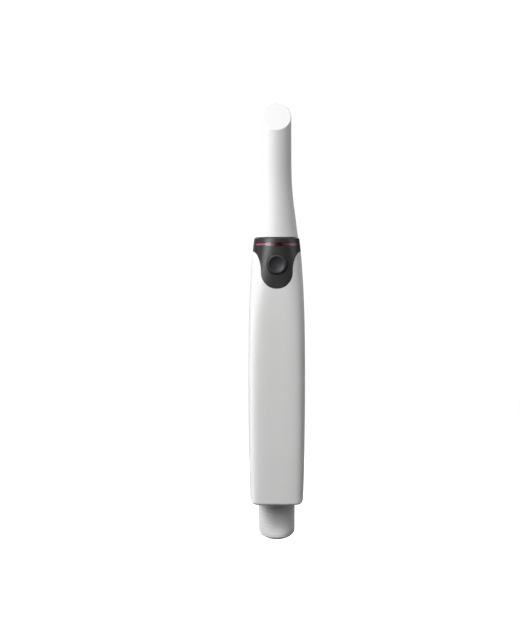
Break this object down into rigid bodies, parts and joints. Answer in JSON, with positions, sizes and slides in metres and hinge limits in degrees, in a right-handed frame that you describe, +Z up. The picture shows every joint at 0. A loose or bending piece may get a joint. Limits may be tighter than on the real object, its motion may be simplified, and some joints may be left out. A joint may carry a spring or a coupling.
{
  "type": "intraoral camera",
  "caption": "Pen-shaped intraoral scanning camera with a removable mirrored tip, a dark collar with a light bar and a scan button, and a slanted tail with a ribbed cable boot.",
  "frame": {"origin": "under the middle of the handle's width and depth, level with the lowest point of the cable boot", "axes": "+Z up the pen to the tip, -Y the button side, +X to the right when facing the button"},
  "size_m": [0.0356, 0.0421, 0.274],
  "materials": {
    "casing": "satin white",
    "tip": "satin white, autoclavable",
    "boot": "soft matte white",
    "collar": "satin dark grey",
    "button": "satin grey",
    "light_guide": "frosted light guide",
    "coupler": "moulded",
    "black_plastic": "moulded",
    "alloy": "machined",
    "nose_alloy": "black anodised",
    "steel": "ground",
    "magnet": "nickel plated",
    "copper": "enamelled winding",
    "contacts": "gold plated",
    "board": "solder mask",
    "flex": "polyimide",
    "lead": "jacket",
    "seal": "O-ring",
    "optical_glass": "coated",
    "led": "phosphor on ceramic",
    "mirror": "front-surface mirror"
  },
  "bodies": {
    "handle": {"front_shell": "casing", "rear_shell": "casing", "collar": "collar", "light_bar": "light_guide", "light_board": "board", "button_guide": "black_plastic", "button_switch": "black_plastic", "button_board": "board", "button_flex": "flex", "end_plate": "casing", "tail_screws": "steel", "cable_boot": "boot", "boot_nut": "alloy", "socket_insert": "black_plastic", "socket_pins": "contacts", "nose_tube": "nose_alloy", "nose_window": "optical_glass", "nose_seal": "seal", "chassis": "alloy", "chassis_screws": "steel", "guide_rod_left": "steel", "guide_rod_right": "steel", "lever_pin": "steel", "coil_magnet": "magnet", "magnet_yoke": "steel", "objective_lens": "optical_glass", "relay_lens": "optical_glass", "field_lens": "optical_glass", "imaging_lens": "optical_glass", "beam_splitter": "optical_glass", "sensor_board": "board", "image_sensor": "black_plastic", "sensor_glass": "optical_glass", "light_barrel": "black_plastic", "condenser_lens": "optical_glass", "pattern_grid": "optical_glass", "led_module": "led", "heat_sink": "alloy", "main_board": "board", "board_screws": "steel", "ribbon_cable": "flex", "signal_cable": "lead", "board_plug": "black_plastic"},
    "button": {"button_cap": "button"},
    "coupler": {"tip_coupler": "coupler"},
    "tip": {"tip_shell": "tip", "tip_mirror": "mirror", "mirror_heater": "flex"},
    "carriage": {"lens_carriage": "alloy", "focus_lens": "optical_glass", "voice_coil": "copper"},
    "lever": {"focus_lever": "alloy"},
    "weight": {"counterweight": "steel"}
  },
  "joints": [
    {"name": "button_press", "type": "slide", "parent": "handle", "child": "button", "axis": [0, 1, 0], "range_m": [0, 0.0006], "stiffness_N_per_m": 300, "springref_m": -0.0015},
    {"name": "tip_pull", "type": "slide", "parent": "handle", "child": "coupler", "axis": [0, 0, 1], "range_m": [0, 0.07]},
    {"name": "tip_turn", "type": "hinge", "parent": "coupler", "child": "tip", "pos_m": [0, -0.0035, 0.193], "axis": [0, 0, 1], "range_deg": [0, 180]},
    {"name": "focus_slide", "type": "slide", "parent": "handle", "child": "carriage", "axis": [0, 0, 1], "range_m": [-0.002, 0.002], "stiffness_N_per_m": 200},
    {"name": "lever_swing", "type": "hinge", "parent": "handle", "child": "lever", "pos_m": [0, 0.0068, 0.119], "axis": [0, -1, 0], "range_deg": [-14.5, 14.5]},
    {"name": "weight_slide", "type": "slide", "parent": "handle", "child": "weight", "axis": [0, 0, 1], "range_m": [-0.0021, 0.0021]}
  ],
  "couplings": [
    {"joint": "lever_swing", "follows": "focus_slide", "rad_per_m": 125},
    {"joint": "weight_slide", "follows": "focus_slide", "ratio": -1}
  ]
}
